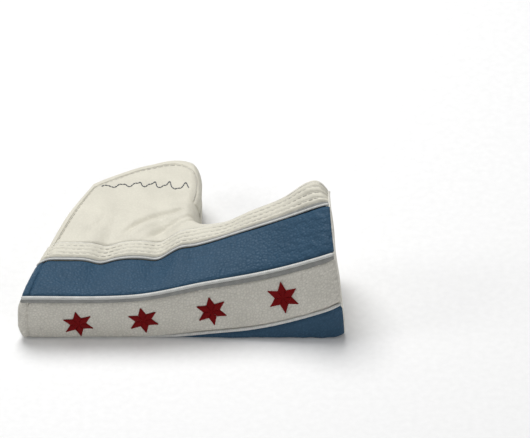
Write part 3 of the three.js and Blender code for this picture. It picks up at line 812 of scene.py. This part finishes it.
def build_band():
    room = SEAM_ROOM
    to_panel = BORDER - PANEL_SEAM_ROOM
    strips = [
        ("lower_blue_leather", "blue_leather", -BLUE_STRIPE + room, -room, 0.5, "lower_blue_stripe"),
        ("white_stripe_leather", "band_leather", room, WHITE_STRIPE - FLANGE_ROOM, 0.5, "white_stripe"),
        ("upper_blue_leather", "blue_leather", WHITE_STRIPE + room, BLUE_TOP - 0.5, 0.6,
         "upper_blue_stripe"),
        ("top_border_leather", "white_leather", BLUE_TOP + 1.7, BLUE_TOP + to_panel, 0.35,
         "top_border_strip"),
        ("bottom_border_leather", "white_leather", -BLUE_STRIPE - to_panel, -BLUE_STRIPE - room, 0.35,
         "bottom_border_strip"),
    ]
    for name, slot, low, high, crown, node in strips:
        finish_piece(slab(name, *strip_grid(low, high, crown)), slot, "shell", stands_for=[node])


def band_line(distance, depth):
    """A line along the band at a distance from the lower cord."""
    return band_point(CORD_ALONG, track(CORD_ALONG, "lift") + distance, depth)


def build_cords():
    cords = [
        ("lower_star", 0.0, 0.5, 0.8, "silver_piping"),
        ("upper_star", WHITE_STRIPE, 0.25, 0.85, "silver_piping"),
        ("top_border", BLUE_TOP, 0.15, 0.55, "silver_piping"),
        ("top_panel", BLUE_TOP + BORDER, 0.6, 0.45, "white_piping"),
        ("bottom_border", -BLUE_STRIPE, 0.75, 0.7, "silver_piping"),
        ("bottom_panel", -BLUE_STRIPE - BORDER, 0.6, 0.45, "white_piping"),
    ]
    for name, distance, depth, radius, slot in cords:
        made = tube(f"{name}_cord", band_line(distance, depth), radius)
        finish_piece(made, slot, "shell", stands_for=[f"{name}_piping"])
    # Flanges coloured with painted shade, where the cords would cast shadow into their grooves.
    build_shaded_flange("star_cord_shaded_flange", WHITE_STRIPE - FLANGE_ROOM - 0.3, WHITE_STRIPE - 0.3)
    build_shaded_flange("border_cord_shaded_flange", BLUE_TOP + 0.3, BLUE_TOP + 1.8)


def build_shaded_flange(name, low, high):
    """The flat cloth edge of a covered cord, a grey line beside it whose dark grey is painted shade for
    the shadowed groove there.
    """
    along, share = np.meshgrid(CORD_ALONG, np.linspace(0, 1, 6), indexing="ij")
    distance = track(along, "lift") + lerp(low, high, share)
    made = slab(name, band_point(along, distance, 0.3), band_point(along, distance, 0.9))
    finish_piece(made, "silver_piping", "shell", material=FLANGE_PAINTED_SHADE)


def finish_layer(made, slot, **settings):
    finish_piece(made, slot, **settings)


def build_band_layers():
    """The foam and the lining behind the stripes."""
    stations = np.linspace(HEM + 0.3, LENGTH - 1.5, 110)
    along, share = np.meshgrid(stations, np.linspace(0, 1, 60), indexing="ij")
    distance = lerp(-12.0, track(along, "lift") + BLUE_TOP - 0.5, share)
    fluff = 0.35 * ripple(along, distance, 1.1, 4.0)
    for name, slot, top, base, node in (
        ("sole_padding", "foam", FOAM_TOP + 0.4, FOAM_BASE, "sole_foam"),
        ("sole_fleece", "fleece", LINING_TOP, LINING_BASE + fluff, "sole_lining"),
    ):
        made = slab(name, sole_layer(along, distance, top), sole_layer(along, distance, base))
        finish_layer(made, slot, body="shell", stands_for=[node])


def sole_layer(along, distance, depth):
    """A layer inside the band, kept off the sharp corners by rounding them more."""
    soft = 0.6 * depth
    beside = band_point(along, distance - soft, depth) + band_point(along, distance + soft, depth)
    return 0.25 * beside + 0.5 * band_point(along, distance, depth)


# ---- The side panels ----

# Lines over a side panel: at the neck edge, the inner edge, the crook and the top line
PANEL_COUNTS = (64, 34, 12, 60)
PANEL_COLUMNS = 46

# Where the lines to the inner edge start and end along the band
INNER_START, INNER_END = 54.0, 80.0


def panel_lines(depth, inset):
    """Lines over a side panel, from its band seam to its far edge, from heel to toe."""
    neck, inner, crook, toe = PANEL_COUNTS
    edge = INNER_EDGE - depth
    crook_centre = np.array([INNER_EDGE, TOP_LINE]) + CROOK_RADIUS
    share = 1 - (1 - np.linspace(0, 1, neck)) ** 1.25
    neck_end = np.stack([lerp(inset, edge - inset, share), neck_top(INNER_EDGE * share) - inset], -1)
    across = np.linspace(neck_end[-1][1], crook_centre[1], inner + 1)[1:]
    set_in = inset * smoothstep(across, FOLD_INNER - 1.5, FOLD_INNER + 1.5)
    inner_end = np.stack([edge - set_in, across], -1)
    turn = np.radians(np.linspace(180, 270, crook + 1)[1:])
    crook_end = crook_centre + (CROOK_RADIUS + depth) * np.stack([np.cos(turn), np.sin(turn)], -1)
    last = np.linspace(crook_centre[0], LENGTH - 0.6, toe + 1)[1:]
    toe_end = np.stack([last, np.full(toe, TOP_LINE - depth)], -1)
    ends = np.concatenate([neck_end, inner_end, crook_end, toe_end])
    starts = np.concatenate([
        lerp(inset + 0.2, INNER_START, share),
        np.linspace(INNER_START, INNER_END, inner + 1)[1:],
        np.linspace(INNER_END, crook_centre[0], crook + 1)[1:],
        last,
    ])
    return starts, ends


def panel_grid(point_of, seam_of, depth, inset):
    """A grid of points over a side panel at a depth."""
    starts, ends = panel_lines(depth, inset)
    share = np.linspace(0, 1, PANEL_COLUMNS)
    share = 0.5 * share + 0.5 * (1 - (1 - share) ** 1.8)
    top_line_room = np.maximum(TOP_LINE - seam(starts, "border_top")[:, 0] - depth, 3)
    room = np.where(ends[:, 0] > INNER_EDGE, 0.75 * top_line_room, 0.0)
    near = np.minimum(seam_of(starts, depth), ends[:, 1] - room)
    along = lerp(starts[:, None], ends[:, None, 0], share[None])
    across = lerp(near[:, None], ends[:, None, 1], share[None])
    return point_of(along, across, depth)


def turned_edges(grid, far_across, up):
    """The grid with its edges turned down at the seams, and dented by the mouth's stitches."""
    way = normals_of(grid)
    middle = way[len(way) // 3, PANEL_COLUMNS // 2, 2]
    out = way * np.sign(middle) * up
    seam_side = arc_lengths(grid, 1)
    far_side = seam_side[:, -1:] - seam_side
    heel_side = arc_lengths(grid, 0)
    hemmed = (far_across > FOLD_INNER)[:, None]
    turned = 0.3 * np.exp(-((far_side / 0.8) ** 2)) + 0.3 * np.exp(-((heel_side / 0.8) ** 2))
    dented = 0.4 * bump(far_side, 0.9, 0.6) * hemmed + 0.4 * bump(heel_side, 0.9, 0.6)
    return grid - out * (PANEL_SEAM_SHARE * edge_dip(seam_side) + turned + dented)[..., None]


def top_seam(along, depth):
    slope = np.radians(track(along, "border_rise"))
    return seam(along, "border_top")[..., 0] + PANEL_SEAM_ROOM + depth * np.sin(slope)


def bottom_seam(along, _):
    return BLUE_STRIPE + BORDER - track(along, "lift") + PANEL_SEAM_ROOM


def top_inner_seam(along, depth):
    slope = np.radians(track(along, "rise"))
    return seam(along, "blue_top")[..., 0] + 1 + depth * np.sin(slope)


def bottom_inner_seam(along, _):
    return 13.0 + 0 * along


def build_panels():
    for side, seam_of, up in (("top", top_seam, 1), ("bottom", bottom_seam, -1)):
        inset = HEM + 0.2
        flat = panel_grid(SIDES[side], seam_of, 0.0, inset)
        outer = turned_edges(flat, panel_lines(0.0, inset)[1][:, 1], up)
        inner = panel_grid(SIDES[side], seam_of, LEATHER, inset)
        finish_piece(slab(f"{side}_leather", outer, inner), "white_leather", flap=f"{side}_flap",
                     stands_for=[f"{side}_panel", f"{side}_flap_leather"])


def build_panel_layers():
    for side, seam_of in (("top", top_inner_seam), ("bottom", bottom_inner_seam)):
        for name, slot, top, base, node in (
            ("padding", "foam", FOAM_TOP, FOAM_BASE, "foam"),
            ("fleece", "fleece", LINING_TOP, LINING_BASE, "lining"),
        ):
            outer, inner = (panel_grid(SIDES[side], seam_of, depth, HEM + 0.3) for depth in (top, base))
            if slot == "fleece":
                inner = inner + 0.3 * ripple(inner[..., 0], inner[..., 1], 1.1, 4.0)[..., None]
            nodes = [f"{side}_{node}", f"{side}_flap_{node}"]
            made = slab(f"{side}_{name}", outer, inner)
            finish_layer(made, slot, flap=f"{side}_flap", stands_for=nodes)


# ---- The turned hem of the mouth ----

# The hem's section: (distance from the mouth's edge, depth), round from the outside to the inside
HEM_SECTION = np.array([
    (4.35, 0.55), (4.05, 0.05), (3.3, -0.2), (2.2, -0.28), (1.2, 0.0), (0.5, 0.75), (0.1, 1.9), (0.0, 3.1),
    (0.1, 4.3), (0.5, 5.4), (1.2, 6.0), (2.4, 6.3), (3.6, 6.2), (4.0, 5.6), (4.0, 3.2),
])

# The facing inside the band's part of the mouth, under the stripes' rolled ends
FACING_SECTION = np.array([
    (1.3, 2.2), (0.6, 2.5), (0.25, 3.1), (0.2, 4.0), (0.45, 5.1), (1.2, 6.0), (2.4, 6.3), (3.6, 6.2),
    (4.0, 5.6), (4.0, 3.2), (2.6, 2.3),
])

# How far before its fold a flap's hem begins
HEM_LEAD = 4.5


def flap_hem_line(inset, depth):
    """Places along a flap's hem, from the fold at the heel round to the fold at the inner edge."""
    share = 1 - (1 - np.linspace(0, 1, 90)) ** 1.4
    top_along = lerp(inset, INNER_EDGE - inset - depth, share)
    top_across = neck_top(INNER_EDGE * share) - inset
    heel = np.linspace(0, 1, 46)[:-1]
    heel_along = np.full(len(heel), top_along[0])
    heel_across = lerp(fold(heel_along) - HEM_LEAD, top_across[0], heel)
    inner = np.linspace(1, 0, 26)[1:]
    inner_along = np.full(len(inner), top_along[-1])
    inner_across = lerp(fold(inner_along) + 0.15, top_across[-1], inner)
    along = np.concatenate([heel_along, top_along, inner_along])
    across = np.concatenate([heel_across, top_across, inner_across])
    return along, across


def build_hems():
    for side, point_of in SIDES.items():
        lines = []
        for inset, depth in HEM_SECTION:
            along, across = flap_hem_line(inset, depth)
            lines.append(point_of(along, across, depth if side == "top" else max(depth, 0.0)))
        made = loft(f"{side}_mouth_hem", np.stack(lines, axis=1))
        finish_piece(made, "white_leather", flap=f"{side}_flap", stands_for=[f"{side}_flap_hem"])
    low_end = -(FOLD_HEEL - HEM_LEAD + 1.2)
    high_end = STATIONS["lift"][0] + BLUE_TOP + BORDER + 0.6
    distance = np.concatenate([
        np.linspace(low_end, -4, 40), np.linspace(-3.5, 3.5, 16), np.linspace(4, high_end, 80)])
    lines = [band_point(inset, distance, depth - mouth_roll(inset)) for inset, depth in FACING_SECTION]
    made = loft("sole_mouth_hem", np.stack(lines, axis=1))
    finish_piece(made, "white_leather", "shell", stands_for=["sole_hem"])


# ---- The toe end and the back seam ----

# The rings of the toe's end face, from its edge to its middle, and how far it bulges
TOE_RINGS = (1.0, 0.99, 0.97, 0.93, 0.87, 0.78, 0.66, 0.52, 0.38, 0.24, 0.1)
TOE_BULGE = 2.1
TOE_THICKNESS = 1.0

# The rings of a layer behind it: shares of the loop, and shares of the layer's thickness
TOE_LAYER_RINGS = ((0.1, 1.0), (0.6, 1.0), (0.97, 1.0), (1.0, 0.8), (1.0, 0.2), (0.97, 0.0), (0.6, 0.0),
                   (0.1, 0.0))


def toe_loop(along, depth, count=44):
    """The closed section at the toe, as points."""
    lift = track(np.array(along), "lift")
    start = lift - BLUE_STRIPE - BORDER
    end = lift + BLUE_TOP + BORDER - 0.5
    distance = np.concatenate([
        np.linspace(start, -4, 14), np.linspace(-3.4, 3.4, 9), np.linspace(4, end, 70)])
    band = band_point(along, distance, depth)
    share = 1 - (1 - np.linspace(0, 1, count)) ** 1.8
    over = top_point(along, lerp(band[-1][1] + 0.4, TOP_LINE - depth, share), depth)
    under = bottom_point(along, lerp(band[0][1] + 0.4, TOP_LINE - depth, share), depth)
    return np.concatenate([band, over, under[::-1][1:]])


def drawn_in(loop, share, shift):
    """A ring drawn in towards its middle and moved along the cover."""
    centre = loop.mean(axis=0)
    return centre + (loop - centre) * share + np.array([shift, 0.0, 0.0])


def build_toe():
    edge = toe_loop(LENGTH - 0.6, 0.6)

    def face(share, thickness):
        ring = drawn_in(edge, share, TOE_BULGE * (1 - share ** 3) - thickness - 0.2)
        ring[:, 0] += 0.25 * ripple(ring[:, 1], ring[:, 2], 7.0, 3.0) * (1 - share)
        return ring

    outer = [face(share, 0.0) for share in TOE_RINGS[::-1]]
    rings = np.array(outer + [face(share, TOE_THICKNESS) for share in TOE_RINGS])
    made = loft("toe_end", rings, uvs=rings.reshape(-1, 3)[:, 1:])
    finish_piece(made, "white_leather", "shell", stands_for=["toe_gusset"])
    welt = toe_loop(LENGTH - 0.4, 0.75) + np.array([0.35, 0.0, 0.0])
    finish_piece(tube("toe_end_cord", welt, 0.7), "white_piping", "shell", stands_for=["toe_piping"])
    for name, slot, node, along, thickness in (
        ("toe_padding", "foam", "toe_foam", LENGTH - 3.4, 2.2),
        ("toe_fleece", "fleece", "toe_lining", LENGTH - 5.5, 1.8),
    ):
        loop = toe_loop(along, LINING_BASE + 0.6)
        rings = [drawn_in(loop, share, shift * thickness) for share, shift in TOE_LAYER_RINGS]
        finish_layer(loft(name, np.array(rings)), slot, body="shell", stands_for=[node])


def build_back_seam():
    depth = 0.9
    ends = panel_lines(depth, 0.0)[1]
    keep = (ends[:, 0] >= INNER_EDGE - depth - 0.01) & (ends[:, 1] < FOLD_INNER)
    along, across = ends[keep].T
    points = place(along, across, seam_height(along, across))
    made = tube("back_seam_cord", points, 0.65, 10)
    finish_piece(made, "white_piping", "shell", stands_for=["back_seam_welt"])


# ---- Stitching and embroidery ----

def stitch_line(point_of, along, across, depth, length, gap, radius, arch):
    """A row of stitches along places on a surface, sunk into it by a depth."""
    on = point_of(along, across, depth)
    above = point_of(along, across, depth - 1)
    return stitch_row(on, above - on, length, gap, radius, arch)


def build_stitches():
    """Rows of topstitching on the border strips and round the mouth."""
    along = CORD_ALONG[12:]
    lift = track(along, "lift")
    for side, start, sign, depth in (("top", BLUE_TOP, 1, 0.05), ("bottom", -BLUE_STRIPE, -1, 0.5)):
        sets = []
        for row in STITCH_ROWS:
            sets += stitch_line(band_point, along, lift + start + sign * row, depth, 2.3, 0.9, 0.24, 0.2)
        made = join_rings(f"{side}_border_stitches", sets)
        finish_piece(made, "white_leather", "shell", material=STITCH_WHITE)
    for side, depth in (("top", 0.2), ("bottom", 0.45)):
        along, across = (line[2:-2] for line in flap_hem_line(HEM + 1.1, 0.0))
        sets = stitch_line(SIDES[side], along, across, depth, 2.2, 0.8, 0.24, 0.2)
        made = join_rings(f"{side}_mouth_stitches", sets)
        finish_piece(made, "white_leather", flap=f"{side}_flap", material=STITCH_WHITE)
    white_parts = (
        (1.5, WHITE_STRIPE - 3),
        (BLUE_TOP + 2, BLUE_TOP + BORDER - 1),
        (-BLUE_STRIPE - BORDER + 1, -BLUE_STRIPE - 2),
    )
    sets = []
    for low, high in white_parts:
        distance = float(track(np.array(HEM), "lift")) + np.linspace(low, high, 60)
        sets += stitch_line(band_point, HEM + 0.6, distance, 0.35, 2.0, 0.8, 0.22, 0.15)
    made = join_rings("sole_mouth_stitches", sets)
    finish_piece(made, "white_leather", "shell", material=STITCH_WHITE)


# Stars: their arms' inner corners as a share of the radius, their turn in degrees, and how far
# the threads lie apart
STAR_WAIST = 0.5
STAR_TURN = 10.0
SATIN_PITCH = 0.36


def star_threads(centre, side, up, out, radius):
    """Satin stitches over a six-pointed star: short threads across each of its arms."""
    made = []
    half = STAR_WAIST * radius * math.sin(math.radians(30))
    shoulder = STAR_WAIST * radius * math.cos(math.radians(30))
    for arm in range(6):
        angle = math.radians(60 * arm + STAR_TURN) + math.pi / 2
        along = np.array([math.cos(angle), math.sin(angle)])
        across = np.array([-along[1], along[0]])
        for reach in np.arange(0.25, radius - 0.15, SATIN_PITCH):
            width = half * min(reach / shoulder, (radius - reach) / (radius - shoulder))
            width = max(width, 0.16) + 0.07 * math.sin(9.7 * reach + 2.1 * arm)
            line = []
            for share, lift in ((-1.0, -0.1), (-0.55, 0.22), (0.0, 0.3), (0.55, 0.22), (1.0, -0.1)):
                spot = along * reach + across * width * share
                line.append(centre + side * spot[0] + up * spot[1] + out * lift)
            made.append(tube_rings(line, 0.2, 6))
    return made


def star_frame(along, distance):
    """Centre, side, up and out directions just above the white stripe."""
    centre, right, left, above, below = (
        band_point(along + a, distance + d, -0.55)
        for a, d in ((0, 0), (1, 0), (-1, 0), (0, 1), (0, -1)))
    side = unit(right - left)
    out = unit(np.cross(side, above - below))
    return centre, side, np.cross(out, side), out


def build_stars():
    distances = np.linspace(0, 45, 400)
    for number in range(1, 5):
        low, high = (np.array(corner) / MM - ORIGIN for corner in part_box(f"star_{number}"))
        middle = (low + high) / 2
        radius = (high[0] - low[0]) / 2 * 1.01
        along = 2 * middle[0] - place(*middle)[0]
        heights = band_point(along, distances)[:, 2]
        distance = distances[np.argmin(np.abs(heights - middle[2]))]
        threads = star_threads(*star_frame(along, distance), radius)
        made = join_rings(f"star_{number}_embroidery", threads)
        finish_piece(made, "red_thread", "shell", stands_for=[f"star_{number}"])


def build_wave():
    """A loose hand-drawn line of run stitches on the top flap."""
    share = np.linspace(0, 1, 700)
    along = lerp(10, 78, share)
    turn = share * 11 * math.pi
    uneven = np.sin(turn) + 0.35 * np.sin(2 * turn + 5 * share) + 0.25 * np.sin(3.1 * turn)
    across = 82.3 + 2.5 * np.sin(math.pi * share) - 2.2 * share + (0.8 + 2.0 * share) * uneven
    made = join_rings("wave_stitches", stitch_line(top_point, along, across, -0.12, 1.6, 0.25, 0.27, 0.16))
    finish_piece(made, "grey_thread", "top_flap", stands_for=["wave_embroidery"])


# The patch's threads: the height of their ends, the width of the border and the rows' pitch
PATCH_HEIGHT = 0.42
RIM_WIDTH = 2.1
FIELD_PITCH = 0.42


def patch_thread(spots, across, lift, dip, radius=0.17):
    """A thread over the patch through three places from its middle, bowed downwards at the second."""
    x, y = BADGE_SPOT[:2]
    top = PATCH_HEIGHT - lift
    line = [(x + spot, y + across, height) for spot, height in zip(spots, (top, top - dip, top))]
    return tube_rings(line, radius, 6)


def build_badge():
    """A round patch: a border of radial threads, a filled field and a small flag on a mound."""
    radius = BADGE_RADIUS - 0.15
    centre = np.array([*BADGE_SPOT[:2], PATCH_HEIGHT])
    shares = np.linspace(0, 1, 5)[:, None]
    rim = []
    for angle in np.linspace(0, 2 * math.pi, 230, endpoint=False):
        way = np.array([math.cos(angle), math.sin(angle), 0.0])
        line = centre + way * (radius - 0.1 - RIM_WIDTH * (1 - shares))
        line[:, 2] -= 0.28 * np.sin(math.pi * shares[:, 0])
        rim.append(tube_rings(line, 0.17, 6))
    field = []
    for across in np.arange(-radius + 2.5, radius - 2.4, FIELD_PITCH):
        half = math.sqrt((radius - 2.3) ** 2 - across ** 2)
        count = max(int(half / 1.6), 1)
        for k in range(-count, count):
            spots = [half * (k + share) / count for share in (0.03, 0.5, 0.97)]
            field.append(patch_thread(spots, across, 0.02, 0.1, 0.19))
    flag = [patch_thread((-2.9, -2.2, -1.6), -6.5 + 0.52 * k, 0.28, 0.06) for k in range(26)]
    for k in range(16):
        reach = 6.2 * (1 - abs(k - 7.5) / 8.5)
        flag.append(patch_thread((-1.4, -1.4 + reach / 2, -1.4 + reach), 6.8 - 0.36 * k, 0.28, 0.08))
    for k in range(7):
        half = 6.4 * math.sqrt(1 - (k / 7) ** 2)
        flag.append(patch_thread((-1.2 - half, -1.2, -1.2 + half), -7.0 - 0.42 * k, 0.24, 0.08))
    base = join_rings("badge_field", field)
    finish_piece(base, "badge_thread", "bottom_flap", stands_for=["round_badge"])
    finish_piece(join_rings("badge_rim", rim), "badge_thread", "bottom_flap", material=BADGE_RED)
    finish_piece(join_rings("badge_flag", flag), "badge_thread", "bottom_flap", material=BADGE_WHITE)


def dress_magnets():
    for node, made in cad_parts.items():
        if "magnet" in node:
            made.data.materials.clear()
            made.data.materials.append(MATERIALS["magnet_steel"])


# ---- Studio ----

# The camera: its angle above the front, its distance, and the picture's width in millimetres
VIEW_ELEVATION = 40.0
VIEW_DISTANCE = 5.0
VIEW_WIDTH = 257.28
SENSOR = 36.0

# The middle of the picture: along the cover, and up in the picture from the heel's corner
FRAME_CENTRE_ALONG = 119.4
FRAME_CENTRE_UP = 57.8

# Lamps: name, place and diameter in metres, power in watts
LAMPS = [
    ("key", (-0.2, 0.45, 1.1), 0.75, 13.2),
    ("side", (-0.9, -0.1, 0.6), 0.4, 1.8),
    ("fill", (0.6, -1.1, 0.6), 0.8, 4.0),
]
SKY_STRENGTH = 0.22
FLOOR_SIZE = 3000.0


def build_camera():
    elevation = math.radians(VIEW_ELEVATION)
    height = 25.0
    across = (FRAME_CENTRE_UP - height * math.cos(elevation)) / math.sin(elevation)
    target = Vector(to_row([FRAME_CENTRE_ALONG, across, height]))
    camera = bpy.data.cameras.new("camera")
    camera.sensor_width = SENSOR
    camera.lens = SENSOR * VIEW_DISTANCE / (VIEW_WIDTH * MM)
    camera.clip_start = 0.01
    view = bpy.data.objects.new("camera", camera)
    view.location = target + VIEW_DISTANCE * Vector((0.0, -math.cos(elevation), math.sin(elevation)))
    view.rotation_euler = (math.pi / 2 - elevation, 0.0, 0.0)
    bpy.context.scene.collection.objects.link(view)
    bpy.context.scene.camera = view


def build_studio():
    for name, spot, size, power in LAMPS:
        light = bpy.data.lights.new(name, "AREA")
        light.shape = "DISK"
        light.size = size
        light.energy = power
        lamp = bpy.data.objects.new(name, light)
        lamp.location = spot
        towards = Vector((0, 0, 0.02)) - Vector(spot)
        lamp.rotation_euler = towards.to_track_quat("-Z", "Y").to_euler()
        bpy.context.scene.collection.objects.link(lamp)
    world = bpy.data.worlds.new("studio")
    world.use_nodes = True
    sky = world.node_tree.nodes["Background"]
    sky.inputs["Color"].default_value = (1.0, 1.0, 1.0, 1.0)
    sky.inputs["Strength"].default_value = SKY_STRENGTH
    bpy.context.scene.world = world
    bpy.context.scene.view_settings.view_transform = "Standard"
    corners = FLOOR_SIZE * np.array([[-1, -1, 0], [1, -1, 0], [1, 1, 0], [-1, 1, 0]]) - ORIGIN
    floor = mesh_object("floor", corners, [[0, 1, 2, 3]], smooth=False)
    floor.data.materials.append(floor_material())


build_camera()
build_studio()
build_band()
build_cords()
build_band_layers()
build_panels()
build_panel_layers()
build_hems()
build_toe()
build_back_seam()
build_stitches()
build_stars()
build_wave()
build_badge()
dress_magnets()
